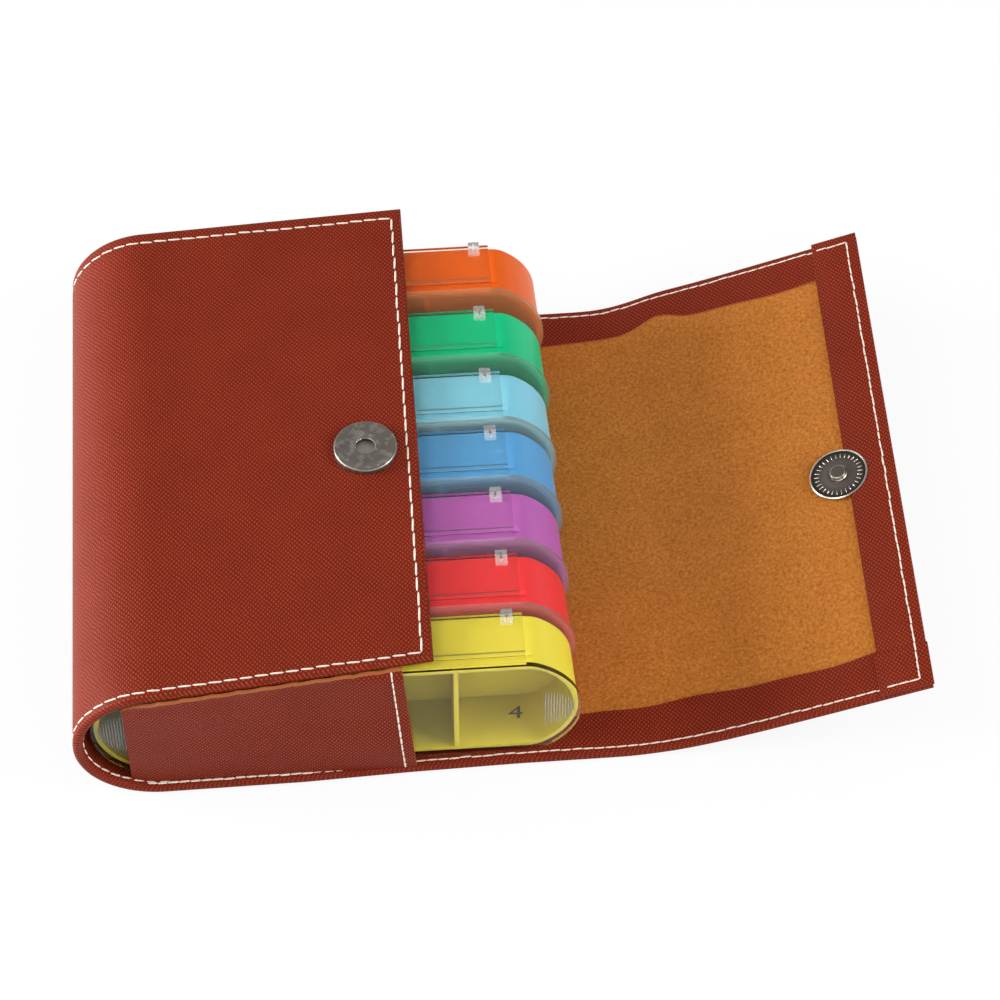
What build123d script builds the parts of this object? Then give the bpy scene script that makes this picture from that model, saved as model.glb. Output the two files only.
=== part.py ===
from build123d import *
import os
from math import cos, radians, sin, sqrt, tan

# A weekly pill organizer: seven pill boxes in a leather wallet case with a folding flap.
# Millimetres. X runs along the boxes towards the flap, Y from the front box to the rear one, Z up.
# The origin is on the table, under the middle of the boxes' length and of the case's width.

# Pill boxes: a coloured tray under one clear sliding lid
BOX_LENGTH = 134.4
BOX_HEIGHT = 41.4
END_BULGE = 13.84
CORNER_EASE = 8.0
BOX_GAPS = (0.4, 2.2, 2.4, 1.3, 3.7, 5.0)
DRAFT = 2.2
LID_PLATE = 1.4
LID_GAP = 0.2
SKIRT_WALL = 1.3
SKIRT_SET_BACK = 0.3
SKIRT_MARGIN = 1.4
SLIDE_CLEARANCE = 0.25
TRAY_DEPTH = 17.2
TRAY_SET_IN = 0.9
TRAY_WALL = 1.3
TRAY_FLOOR = 1.4
TRAY_ROUND = 1.0
COMPARTMENTS = 4
DIVIDER_WALL = 1.3
RAIL_WIDTH = 1.2
RAIL_PROUD = 0.6
RAIL_FROM_MOUTH = 2.8
RAIL_MARGIN = 1.2
GROOVE_CLEARANCE = 0.2
HOOK_WIDTH = 3.2
HOOK_INSET = 4.2
HOOK_LENGTH = 4.6
HOOK_TOE = 0.8
HOOK_REACH = 4.4
HOOK_PROUD = 0.2
HOOK_CLEARANCE = 0.2
HOOK_SLIT = 0.6
HOOK_BRIDGE = 1.4

# Leather case with a felt lining and turned hems
LEATHER = 1.2
FELT = 1.0
HEM = 0.6
HEM_WIDTH = 14.0
BOX_LIFT = 0.15
TOP_CLEARANCE = 0.35
LEFT_GAP = 2.6
FRONT_GAP = 2.1
REAR_GAP = 4.8
TOP_SET_BACK = 40.2
TOP_SKEW = 5.0
HEM_MARGIN = 1.5

# Side gussets with turned seam flanges
GUSSET_SET_IN = 0.2
GUSSET_INTO_SIDE = 8.55
GUSSET_BOTTOM_SET_BACK = 7.5
GUSSET_TOP_SET_BACK = 11.0
FLANGE_WIDTH = 7.6
FLANGE_MARGIN = 1.5

# Magnetic snap
SNAP_RADIUS = 9.0
SNAP_SHEET = 0.4
SNAP_INSET = 14.8
SNAP_Y = -3.2
SNAP_GAP = 0.1
MAGNET_HEIGHT = 1.1
MAGNET_CLEARANCE = 0.2
STUD_RADIUS = 8.7
STUD_PLATE = 0.7
STUD_INSET = 16.4
POST_RADIUS = 2.4
POST_CLEARANCE = 0.3
SHANK_RADIUS = 1.2
POST_CHAMFER = 0.3
PRONG_WIDTH = 4.0
PRONG_SHEET = 0.5
PRONG_SPACING = 8.0
PRONG_TAB = 2.6
TAB_SHEET = 0.3
WASHER_MARGIN = 1.4
WASHER_SHEET = 0.4
SLOT_CLEARANCE = 0.1
POCKET_CLEARANCE = 0.2

# Flap: fold lines that let it wrap the boxes' round ends
FOLDS = 6
FOLD_ANGLE = 180.0 / FOLDS
REST_BENDS = (0.0, 0.0, 0.0, 16.0, 2.0, 2.0)
FLAP_CLEARANCE = 0.4
FOLD_GAP = 0.1

# Heights, from the table up
felt_top = LEATHER + FELT
hem_top = felt_top + HEM
box_bottom = hem_top + BOX_LIFT
box_middle = box_bottom + BOX_HEIGHT / 2
box_top = box_bottom + BOX_HEIGHT
top_hem_z = box_top + TOP_CLEARANCE
top_felt_z = top_hem_z + HEM
top_leather_z = top_felt_z + FELT
case_top = top_leather_z + LEATHER

# Places along the case's width
box_depth = LID_PLATE + LID_GAP + TRAY_DEPTH + HOOK_CLEARANCE + HOOK_TOE
stack_depth = len(BOX_GAPS) * box_depth + box_depth + sum(BOX_GAPS)
gusset_inset = GUSSET_SET_IN + LEATHER
case_half_width = (2 * gusset_inset + FRONT_GAP + stack_depth + REAR_GAP) / 2
box_fronts = [-case_half_width + gusset_inset + FRONT_GAP]
for gap in BOX_GAPS:
    box_fronts.append(box_fronts[-1] + box_depth + gap)

# Places along the case's length
end_radius = ((BOX_HEIGHT / 2)**2 + END_BULGE**2) / (2 * END_BULGE)
end_centre_x = BOX_LENGTH / 2 - end_radius
wrap_radius = case_top / 2
wrap_x = wrap_radius - BOX_LENGTH / 2 - LEFT_GAP - felt_top
top_reach = BOX_LENGTH / 2 - TOP_SET_BACK
gusset_left = wrap_x - GUSSET_INTO_SIDE
gusset_bottom_x = top_reach - GUSSET_BOTTOM_SET_BACK
gusset_top_x = top_reach - GUSSET_TOP_SET_BACK
hem_start = gusset_bottom_x + HEM_MARGIN

# Snap: its two halves share one place and meet when the flap is closed
snap_x = top_reach - SNAP_INSET
socket_top = case_top + 2 * SNAP_SHEET + MAGNET_HEIGHT
socket_bore = POST_RADIUS + POST_CLEARANCE
post_height = MAGNET_HEIGHT + SNAP_SHEET + SNAP_GAP - POST_CLEARANCE
washer_radius = PRONG_SPACING / 2 + PRONG_TAB + WASHER_MARGIN
closed_z = socket_top + SNAP_GAP + STUD_PLATE


def fold_lines():
    """Flat X of each fold line, and how far past the last one the stud sits to meet the socket."""
    reach = end_radius + FLAP_CLEARANCE
    distances = [box_middle - hem_top] + [reach] * (FOLDS - 1) + [closed_z - box_middle]
    turn = radians(FOLD_ANGLE)

    def leg(own, other):
        return (other - own * cos(turn)) / sin(turn)

    lines = [end_centre_x + leg(distances[0], distances[1])]
    for index in range(1, FOLDS):
        before, own, after = distances[index - 1:index + 2]
        lines.append(lines[-1] + leg(own, before) + leg(own, after))
    return lines, end_centre_x + leg(distances[-1], distances[-2]) - snap_x


fold_x, stud_reach = fold_lines()
stud_x = fold_x[-1] + stud_reach
flap_end = stud_x + STUD_INSET


def block(x_span, y_span, z_span):
    """A box between the given limits."""
    lengths = [high - low for low, high in (x_span, y_span, z_span)]
    middles = [(high + low) / 2 for low, high in (x_span, y_span, z_span)]
    return Pos(*middles) * Box(*lengths)


def disc(radius, x, z_low, z_high):
    """An upright round of the snap between two heights."""
    return Pos(x, SNAP_Y, (z_low + z_high) / 2) * Cylinder(radius, z_high - z_low)


def straight_half(length, height, radius):
    """Half the length of a lozenge's straight sides, between its round ends."""
    return length / 2 - radius + sqrt(radius**2 - (height / 2)**2)


def lozenge(length, height, radius):
    """A flat outline with straight long sides, bulging ends and eased corners."""
    half, rise = length / 2, height / 2
    straight = straight_half(length, height, radius)
    lower_side = Line((-straight, -rise), (straight, -rise))
    right_end = ThreePointArc((straight, -rise), (half, 0), (straight, rise))
    upper_side = Line((straight, rise), (-straight, rise))
    left_end = ThreePointArc((-straight, rise), (-half, 0), (-straight, -rise))
    face = make_face(Wire([lower_side, right_end, upper_side, left_end]))
    return fillet(face.vertices(), CORNER_EASE)


def facing_back(y):
    """A work plane that faces +Y at the given depth, in the middle of a box's height."""
    return Plane((0, y, box_middle), x_dir=(1, 0, 0), z_dir=(0, 1, 0))


def side_bar(points, length):
    """A bar along X with the given section of depth and height points, above and below the box's middle."""
    section = make_face(Polyline(*points, close=True))
    across = Plane((0, 0, box_middle), x_dir=(0, 1, 0), z_dir=(1, 0, 0))
    bar = extrude(across * section, length / 2, both=True)
    return bar + mirror(bar, Plane.XY.offset(box_middle))


def skirt_height(depth):
    """Height of a skirt's outer face above the box's middle, at a depth behind the lid's front."""
    return BOX_HEIGHT / 2 - depth * tan(radians(DRAFT))


# Depths behind a lid's front, and the tray that the lid's skirts leave room for
tray_mouth = LID_PLATE + LID_GAP
tray_back = tray_mouth + TRAY_DEPTH
skirt_back = tray_back - SKIRT_SET_BACK
rail_front = tray_mouth + RAIL_FROM_MOUTH
side_set_in = SKIRT_WALL + SLIDE_CLEARANCE
tray_length = BOX_LENGTH - 2 * TRAY_SET_IN
tray_height = 2 * (skirt_height(tray_mouth) - side_set_in)
tray_radius = end_radius - TRAY_SET_IN
inner_length = tray_length - 2 * TRAY_WALL
rail_length = 2 * (straight_half(tray_length, tray_height, tray_radius) - RAIL_MARGIN)
skirt_length = 2 * (straight_half(BOX_LENGTH, BOX_HEIGHT, end_radius) - SKIRT_MARGIN)
hook_x = skirt_length / 2 - HOOK_INSET


def sloped(depth_low, depth_high, outer, inner):
    """Section points between two depths, set in from a skirt's outer face by the two given distances."""
    low, high = skirt_height(depth_low), skirt_height(depth_high)
    outside = [(depth_low, low - outer), (depth_high, high - outer)]
    inside = [(depth_high, high - inner), (depth_low, low - inner)]
    return outside + inside


def make_tray():
    """A coloured tray, its mouth towards -Y, with dividers and side rails."""
    mouth = facing_back(tray_mouth)
    shell = extrude(mouth * lozenge(tray_length, tray_height, tray_radius), TRAY_DEPTH, taper=DRAFT)
    back_edges = shell.faces().sort_by(Axis.Y)[-1].edges()
    shell = fillet(back_edges, TRAY_ROUND)
    inner = lozenge(inner_length, tray_height - 2 * TRAY_WALL, tray_radius - TRAY_WALL)
    hollow = extrude(mouth * inner, TRAY_DEPTH - TRAY_FLOOR, taper=DRAFT)
    pitch = (inner_length + DIVIDER_WALL) / COMPARTMENTS
    for index in range(1, COMPARTMENTS):
        x = -(inner_length + DIVIDER_WALL) / 2 + index * pitch
        divider_span = (x - DIVIDER_WALL / 2, x + DIVIDER_WALL / 2)
        hollow -= block(divider_span, (0, tray_back), (box_bottom, box_top))
    rail_foot = side_set_in + TRAY_WALL / 2
    rail = sloped(rail_front, rail_front + RAIL_WIDTH, side_set_in - RAIL_PROUD, rail_foot)
    return shell - hollow + side_bar(rail, rail_length)


def hook_set(points, width):
    """The same bar at both ends of a skirt, on both skirts."""
    bar = side_bar(points, width)
    return Pos(hook_x, 0, 0) * bar + Pos(-hook_x, 0, 0) * bar


def make_lid():
    """A clear lid: a plate, two skirts with rail grooves and four slit hooks that reach behind the tray."""
    plate = extrude(facing_back(0) * lozenge(BOX_LENGTH, BOX_HEIGHT, end_radius), LID_PLATE)
    skirts = side_bar(sloped(LID_PLATE / 2, skirt_back, 0, SKIRT_WALL), skirt_length)
    groove_front = rail_front - GROOVE_CLEARANCE
    groove_back = rail_front + RAIL_WIDTH + GROOVE_CLEARANCE
    groove = sloped(groove_front, groove_back, SKIRT_WALL - RAIL_PROUD, SKIRT_WALL + RAIL_PROUD)
    toe_front = tray_back + HOOK_CLEARANCE
    toe_back = toe_front + HOOK_TOE
    leg_front = toe_back - HOOK_LENGTH
    slit_front = leg_front + HOOK_BRIDGE
    legs = hook_set(sloped(leg_front, toe_back, -HOOK_PROUD, SKIRT_WALL), HOOK_WIDTH)
    slits = hook_set(sloped(slit_front, toe_front, -2 * HOOK_PROUD, 2 * SKIRT_WALL), HOOK_SLIT)
    toes = hook_set(sloped(toe_front, toe_back, -HOOK_PROUD, HOOK_REACH), HOOK_WIDTH)
    return plate + (skirts + legs - slits - side_bar(groove, skirt_length)) + toes


def top_panel(x_low, x_high, z_low, z_high, inset=0.0):
    """A piece of the top panel, whose free end is set back towards +Y by TOP_SKEW."""
    corners = []
    for x, side in ((x_low, -1), (x_high, -1), (x_high, 1), (x_low, 1)):
        shift = TOP_SKEW * (x - wrap_x) / (top_reach - wrap_x)
        corners.append((x, side * (case_half_width - inset) + shift))
    outline = make_face(Polyline(*corners, close=True))
    return extrude(Pos(0, 0, z_low) * outline, z_high - z_low)


def side_wrap(outer_radius, thickness, inset=0.0):
    """The case's rounded left side, a half tube along Y."""
    length = 2 * (case_half_width - inset)
    tube = Cylinder(outer_radius, length) - Cylinder(outer_radius - thickness, length)
    keep = Pos(-outer_radius, 0, 0) * Box(2 * outer_radius, 2 * outer_radius, length)
    return Pos(wrap_x, 0, wrap_radius) * (Rot(90, 0, 0) * (tube & keep))


def turned_edges(x_low, x_high):
    """The leather's front and rear edges, turned up over the felt along the bottom panel or flap."""
    length = (x_low, x_high)
    hems = []
    for side in (-1, 1):
        edge = side * case_half_width
        rim = block(length, sorted((edge, edge - side * LEATHER)), (LEATHER, hem_top))
        lip = block(length, sorted((edge, edge - side * HEM_WIDTH)), (felt_top, hem_top))
        hems.append(rim + lip)
    return hems


width_span = (-case_half_width, case_half_width)
felt_span = (-case_half_width + LEATHER, case_half_width - LEATHER)
case_end = fold_x[0] - FOLD_GAP / 2


def prong_legs(x, z_low, z_high, clearance=0.0):
    """Two flat legs that pass through the leather or felt, or the slots for them."""
    half_width = PRONG_WIDTH / 2 + clearance
    half_sheet = PRONG_SHEET / 2 + clearance
    legs = []
    for side in (-1, 1):
        y = SNAP_Y + side * PRONG_SPACING / 2
        span = (y - half_sheet, y + half_sheet)
        legs.append(block((x - half_width, x + half_width), span, (z_low, z_high)))
    return legs


def prong_tabs(x, z_low, z_high):
    """The prongs' ends, bent outwards behind the washer."""
    tabs = []
    for side in (-1, 1):
        y = SNAP_Y + side * PRONG_SPACING / 2
        span = sorted((y - side * PRONG_SHEET / 2, y + side * PRONG_TAB))
        tabs.append(block((x - PRONG_WIDTH / 2, x + PRONG_WIDTH / 2), span, (z_low, z_high)))
    return tabs


def make_case_wrap():
    """Bottom panel, rounded side and top panel in one leather piece, with its hems and slots."""
    leather = block((wrap_x, case_end), width_span, (0, LEATHER)) + side_wrap(wrap_radius, LEATHER)
    leather += top_panel(wrap_x, top_reach, top_leather_z, case_top)
    leather += top_panel(top_reach - LEATHER, top_reach, top_hem_z, case_top)
    leather += top_panel(top_reach - HEM_WIDTH, top_reach, top_hem_z, top_felt_z)
    leather += turned_edges(hem_start, case_end)
    return leather - prong_legs(snap_x, top_felt_z, case_top, SLOT_CLEARANCE)


def make_case_lining():
    """Felt under the boxes, round the side and under the top panel, with the washer's pocket."""
    felt = block((wrap_x, case_end), felt_span, (LEATHER, felt_top))
    felt += side_wrap(wrap_radius - LEATHER, FELT, LEATHER)
    felt += top_panel(wrap_x, top_reach - LEATHER, top_felt_z, top_leather_z, LEATHER)
    pocket_floor = top_leather_z - WASHER_SHEET - TAB_SHEET
    return felt - disc(washer_radius + POCKET_CLEARANCE, snap_x, pocket_floor, top_leather_z)


def make_gusset(side):
    """A leather side panel between bottom and top, its seam flanges turned inwards over the felt."""
    outer = side * (case_half_width - GUSSET_SET_IN)
    inner = side * (case_half_width - gusset_inset)
    flange_end = side * (case_half_width - gusset_inset - FLANGE_WIDTH)
    lower_corners = [(gusset_left, felt_top), (gusset_bottom_x, felt_top)]
    upper_corners = [(gusset_top_x, top_hem_z), (gusset_left, top_hem_z)]
    outline = make_face(Polyline(*lower_corners, *upper_corners, close=True))
    wall = extrude(Plane((0, inner, 0), x_dir=(1, 0, 0), z_dir=(0, -1, 0)) * outline, inner - outer)
    inside = Rot(90, 0, 0) * Cylinder(wrap_radius - felt_top, 2 * case_half_width)
    room = block((wrap_x, gusset_bottom_x), width_span, (felt_top, top_felt_z))
    room += Pos(wrap_x, 0, wrap_radius) * inside
    flange_span = sorted((outer, flange_end))
    flange_start = wrap_x + FLANGE_MARGIN
    top_end = min(gusset_top_x, top_reach - HEM_WIDTH) - FLANGE_MARGIN
    low = block((flange_start, gusset_bottom_x - FLANGE_MARGIN), flange_span, (felt_top, hem_top))
    high = block((flange_start, top_end), flange_span, (top_hem_z, top_felt_z))
    return (wall & room) + low + high


def make_socket():
    """The snap's female half: prong base, magnet, cap and the washer behind the leather."""
    base_top = case_top + SNAP_SHEET
    magnet_top = base_top + MAGNET_HEIGHT
    washer_z = top_leather_z - WASHER_SHEET
    cup_radius = SNAP_RADIUS - SNAP_SHEET
    base = disc(cup_radius, snap_x, case_top, base_top)
    base += prong_legs(snap_x, washer_z - TAB_SHEET, base_top)
    base += prong_tabs(snap_x, washer_z - TAB_SHEET, washer_z)
    magnet = disc(cup_radius - MAGNET_CLEARANCE, snap_x, base_top, magnet_top)
    magnet -= disc(socket_bore + MAGNET_CLEARANCE, snap_x, base_top, magnet_top)
    cap = disc(SNAP_RADIUS, snap_x, case_top, socket_top)
    cap -= disc(cup_radius, snap_x, case_top, magnet_top)
    cap -= disc(socket_bore, snap_x, magnet_top, socket_top)
    washer = disc(washer_radius, snap_x, washer_z, top_leather_z)
    washer -= prong_legs(snap_x, washer_z, top_leather_z, SLOT_CLEARANCE)
    pieces = {"base": base, "magnet": magnet, "cap": cap, "washer": washer}
    return {f"snap_socket_{name}": solid for name, solid in pieces.items()}


def make_stud():
    """The snap's male half, lying flat: prong plate, riveted post and the washer under the felt."""
    plate_top = hem_top + STUD_PLATE
    washer_z = LEATHER + TAB_SHEET
    shank = disc(SHANK_RADIUS, stud_x, hem_top, plate_top)
    plate = disc(STUD_RADIUS, stud_x, hem_top, plate_top) - shank
    plate += prong_legs(stud_x, LEATHER, hem_top)
    plate += prong_tabs(stud_x, LEATHER, washer_z)
    head = disc(POST_RADIUS, stud_x, plate_top, plate_top + post_height)
    head = chamfer(head.faces().sort_by(Axis.Z)[-1].edges(), POST_CHAMFER)
    washer = disc(washer_radius, stud_x, washer_z, washer_z + WASHER_SHEET)
    washer -= prong_legs(stud_x, washer_z, washer_z + WASHER_SHEET, SLOT_CLEARANCE)
    return {"snap_stud_plate": plate, "snap_stud_post": head + shank, "snap_stud_washer": washer}


def make_flap():
    """The flap's pieces, lying flat and split at the fold lines, each with its number of folds."""
    pieces = {}
    for folds in range(1, FOLDS):
        low = fold_x[folds - 1] + FOLD_GAP / 2
        high = fold_x[folds] - FOLD_GAP / 2
        leather = block((low, high), width_span, (0, LEATHER)) + turned_edges(low, high)
        pieces[f"flap_leather_{folds}"] = (leather, folds)
        pieces[f"flap_felt_{folds}"] = (block((low, high), felt_span, (LEATHER, felt_top)), folds)
    low = fold_x[-1] + FOLD_GAP / 2
    slots = prong_legs(stud_x, LEATHER, hem_top, SLOT_CLEARANCE)
    leather = block((low, flap_end), width_span, (0, LEATHER)) + turned_edges(low, flap_end)
    leather += block((flap_end - LEATHER, flap_end), width_span, (LEATHER, hem_top))
    leather += block((flap_end - HEM_WIDTH, flap_end), width_span, (felt_top, hem_top))
    felt = block((low, flap_end - LEATHER), felt_span, (LEATHER, felt_top))
    felt -= disc(washer_radius + POCKET_CLEARANCE, stud_x, LEATHER, LEATHER + TAB_SHEET + WASHER_SHEET)
    pieces["flap_cover_leather"] = (leather - slots, FOLDS)
    pieces["flap_cover_felt"] = (felt - slots, FOLDS)
    for name, solid in make_stud().items():
        pieces[name] = (solid, FOLDS)
    return pieces


def bent(solid, folds):
    """Turns a piece of the flat flap up into its resting bend, about the fold lines before it."""
    for x, bend in reversed(list(zip(fold_x, REST_BENDS))[:folds]):
        solid = solid.rotate(Axis((x, 0, hem_top), (0, 1, 0)), -bend)
    return solid


def make_parts():
    """Every piece of the organizer, by name, at rest."""
    parts = {"case_wrap": make_case_wrap(), "case_lining": make_case_lining()}
    parts["front_gusset"] = make_gusset(-1)
    parts["rear_gusset"] = make_gusset(1)
    parts.update(make_socket())
    for name, (solid, folds) in make_flap().items():
        parts[name] = bent(solid, folds)
    tray, lid = make_tray(), make_lid()
    for number, front in enumerate(box_fronts, start=1):
        parts[f"tray_{number}"] = Pos(0, front, 0) * tray
        parts[f"lid_{number}"] = Pos(0, front, 0) * lid
    return parts


os.makedirs("parts", exist_ok=True)
for part_name, part_solid in make_parts().items():
    export_step(part_solid, f"parts/{part_name}.step")
print("fold lines", [round(x, 2) for x in fold_x], "stud", round(stud_x, 2), "flap end", round(flap_end, 2))
print("case half width", round(case_half_width, 2), "box fronts", [round(y, 2) for y in box_fronts])
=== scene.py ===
import math
import random

import bmesh
import bpy
import numpy as np
from mathutils import Matrix, Vector


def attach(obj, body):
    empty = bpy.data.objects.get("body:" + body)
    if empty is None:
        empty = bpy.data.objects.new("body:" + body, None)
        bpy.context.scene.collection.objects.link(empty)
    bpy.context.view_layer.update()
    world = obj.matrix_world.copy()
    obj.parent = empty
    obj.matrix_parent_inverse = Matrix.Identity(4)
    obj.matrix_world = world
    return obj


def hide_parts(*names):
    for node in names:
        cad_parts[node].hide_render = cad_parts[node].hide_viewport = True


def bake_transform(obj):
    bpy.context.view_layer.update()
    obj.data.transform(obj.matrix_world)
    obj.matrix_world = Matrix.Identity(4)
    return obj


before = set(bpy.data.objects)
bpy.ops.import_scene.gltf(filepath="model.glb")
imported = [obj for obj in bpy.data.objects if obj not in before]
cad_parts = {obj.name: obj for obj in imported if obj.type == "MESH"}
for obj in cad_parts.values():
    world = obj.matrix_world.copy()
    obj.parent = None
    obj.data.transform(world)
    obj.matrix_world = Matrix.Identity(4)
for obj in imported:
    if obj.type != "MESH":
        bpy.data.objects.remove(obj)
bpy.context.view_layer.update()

# Case leather: bottom panel, rounded side and top panel in one strip of grained artificial leather.
# It is cut flat, its edges are turned over the felt and sewn down, and the strip is bent round the boxes.
# Lengths are millimetres until a piece is handed over; run is the distance along the flat strip.
MM = 0.001
ROW = 1.6
HALF_WIDTH = 81.65
LEATHER = 1.2
FELT_TOP = 2.2
HEM_TOP = 2.8
HEM_WIDTH = 14.0
EDGE_ROUND = 1.25
CUT_EDGE = 0.1
NEAR = 0.01
SHARP = 1.0
SIDE_X = -48.25
SIDE_RADIUS = 23.75
TOP_REACH = 27.0
TOP_RUN = SIDE_X - math.pi * SIDE_RADIUS - (TOP_REACH - SIDE_X)
CASE_END = 50.1
BENDS = ((87.042, 16, 13.0), (99.26, 2, 8.0), (118.98, 2, 8.0))
CURVE_STEP = 0.5
TWIST_FROM = 84.0
TWIST_LENGTH = 24.0
REAR_LIFT = 1.0
REAR_SPREAD = 1.0
FRONT_DROP = 1.0
SNAP_Y = -3.2
SNAP_LEVEL = 9.0
EDGE_RUNS = (TOP_RUN, SIDE_X - math.pi * SIDE_RADIUS, -85.5, SIDE_X, -10.0, 20.0, 50.0, 90.0, 168.0)
FRONT_EDGE = (6.0, -1.9, -1.9, -1.3, -0.9, 0.3, 1.0, 1.2, 1.0)
REAR_EDGE = (5.9, 1.4, 1.0, 0.6, 0.4, 0.2, 0.0, 0.0, 0.0)


def eased(share):
    """A share from 0 to 1 with a soft start and end."""
    share = np.clip(share, 0.0, 1.0)
    return share * share * (3 - 2 * share)


curve_runs = np.arange(SIDE_X, 176.0, CURVE_STEP)
curve_slopes = sum(math.radians(bend) * eased((curve_runs - run) / (2 * ease) + 0.5)
                   for run, bend, ease in BENDS)
curve_x = SIDE_X + np.cumsum(np.cos(curve_slopes)) * CURVE_STEP - CURVE_STEP
curve_z = HEM_TOP + np.cumsum(np.sin(curve_slopes)) * CURVE_STEP


def settle(point):
    """Where a point of the flat strip comes to rest: its run, its y and its height above the outer face."""
    run, y, height = point
    share = (y + HALF_WIDTH) / (2 * HALF_WIDTH)
    front, rear = (np.interp(run, EDGE_RUNS, edge) for edge in (FRONT_EDGE, REAR_EDGE))
    spread_y = y + front + (rear - front) * share
    turn = (SIDE_X - run) / SIDE_RADIUS
    if turn >= math.pi:
        return Vector((SIDE_X + (turn - math.pi) * SIDE_RADIUS, spread_y, 2 * SIDE_RADIUS - height))
    if turn > 0:
        radius = SIDE_RADIUS - height
        return Vector((SIDE_X - radius * math.sin(turn), spread_y, SIDE_RADIUS - radius * math.cos(turn)))
    slope, x, z = (np.interp(run, curve_runs, curve) for curve in (curve_slopes, curve_x, curve_z))
    x -= (height - HEM_TOP) * math.sin(slope)
    z += (height - HEM_TOP) * math.cos(slope)
    beyond = max(0.0, abs(y - SNAP_Y) - SNAP_LEVEL) / (HALF_WIDTH - SNAP_Y - SNAP_LEVEL)
    twist = beyond * eased((run - TWIST_FROM) / TWIST_LENGTH)
    if y < SNAP_Y:
        return Vector((x, spread_y, z - FRONT_DROP * twist))
    return Vector((x, spread_y + REAR_SPREAD * twist, z + REAR_LIFT * twist))


def cut_strip(run_low, run_high, half_width, low, high, cuts=()):
    """A flat slab between two runs and two heights, with extra cuts given as a point and a direction."""
    bm = bmesh.new()
    half_run = (run_high - run_low) / 2
    place = Matrix.Translation((run_low + half_run, 0, 0)) @ Matrix.Diagonal((half_run, half_width, 1, 1))
    rows = max(2, round(2 * half_run / ROW))
    bmesh.ops.create_grid(bm, x_segments=rows, y_segments=16, size=1, matrix=place)
    for point, direction in cuts:
        everything = bm.verts[:] + bm.edges[:] + bm.faces[:]
        bmesh.ops.bisect_plane(bm, geom=everything, plane_co=point, plane_no=direction)
    bmesh.ops.solidify(bm, geom=bm.faces[:], thickness=1.0)
    middle = sum(v.co.z for v in bm.verts) / len(bm.verts)
    for v in bm.verts:
        v.co.z = high if v.co.z > middle else low
    bmesh.ops.recalc_face_normals(bm, faces=bm.faces[:])
    return bm


def turned_strip(run_low, run_high, end_run, wave):
    """A leather strip with its front and rear edges turned over, and its end at end_run where it has one."""
    hem_line = HALF_WIDTH - HEM_WIDTH
    cuts = [((0, side * hem_line, 0), (0, 1, 0)) for side in (-1, 1)]
    inward = 1 if end_run == run_low else -1
    if end_run is not None:
        cuts.append(((end_run + inward * HEM_WIDTH, 0, 0), (1, 0, 0)))
    bm = cut_strip(run_low, run_high, HALF_WIDTH, 0, LEATHER, cuts)

    def at_end(v):
        return end_run is not None and abs(v.co.x - end_run) < NEAR

    def at_edge(v):
        return at_end(v) or abs(abs(v.co.y) - HALF_WIDTH) < NEAR

    def in_hem(middle):
        return abs(middle.y) > hem_line or (end_run is not None and abs(middle.x - end_run) < HEM_WIDTH)

    def on_rim(e):
        """Whether an edge is a sharp one along the strip's turned edges."""
        first, second = e.verts
        if not (at_edge(first) and at_edge(second) and abs(first.co.z - second.co.z) < NEAR):
            return False
        if len(e.link_faces) != 2 or e.calc_face_angle() <= SHARP:
            return False
        return abs(first.co.x - second.co.x) > NEAR or at_end(first)

    lip = [f for f in bm.faces if f.normal.z > 0.5 and in_hem(f.calc_center_median())]
    raised = bmesh.ops.extrude_face_region(bm, geom=lip)["geom"]
    bmesh.ops.delete(bm, geom=[f for f in lip if f.is_valid], context="FACES")
    for v in raised:
        if isinstance(v, bmesh.types.BMVert):
            v.co.z = HEM_TOP
    bm.faces.ensure_lookup_table()
    bmesh.ops.recalc_face_normals(bm, faces=bm.faces[:])
    seam = [e for e in bm.edges if all(at_edge(v) and abs(v.co.z - LEATHER) < NEAR for v in e.verts)
            and all(abs(f.normal.z) < 0.5 for f in e.link_faces)]
    bmesh.ops.dissolve_edges(bm, edges=seam, use_verts=True)
    for f in bm.faces:
        middle = f.calc_center_median()
        off_end = end_run is None or abs(middle.x - end_run) > HEM_WIDTH - CUT_EDGE
        inner = off_end and abs(middle.y) < hem_line + CUT_EDGE
        f.material_index = 1 if inner and LEATHER < middle.z < HEM_TOP - CUT_EDGE else 0
    rim = [e for e in bm.edges if on_rim(e)]
    bmesh.ops.bevel(bm, geom=rim, offset=EDGE_ROUND, affect="EDGES", segments=4, profile=0.5, material=-1)
    for v in bm.verts:
        side = math.copysign(1, v.co.y)
        from_edge = HALF_WIDTH - abs(v.co.y)
        if from_edge < HEM_WIDTH + NEAR:
            v.co.y += side * wave(v.co.x, side) * from_edge / HEM_WIDTH
    return bm


def lay_out(bm):
    """Gives a flat piece a map in millimetres for its grain, then brings it to rest."""
    flat = bm.loops.layers.uv.new("flat")
    for f in bm.faces:
        for corner in f.loops:
            x, y, z = corner.vert.co
            corner[flat].uv = (x + z, y + z)
    for v in bm.verts:
        v.co = settle(v.co)
    bmesh.ops.recalc_face_normals(bm, faces=bm.faces[:])


def hand_over(bm, name, *finishes):
    """Makes a piece, in metres, from a shape in millimetres; it is smooth except at its creases."""
    bmesh.ops.scale(bm, vec=(MM, MM, MM), verts=bm.verts[:])
    mesh = bpy.data.meshes.new(name)
    bm.to_mesh(mesh)
    bm.free()
    for finish in finishes:
        mesh.materials.append(finish)
    mesh.shade_smooth()
    mesh.set_sharp_from_angle(angle=math.radians(38))
    piece = bpy.data.objects.new(name, mesh)
    bpy.context.scene.collection.objects.link(piece)
    return piece


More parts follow.
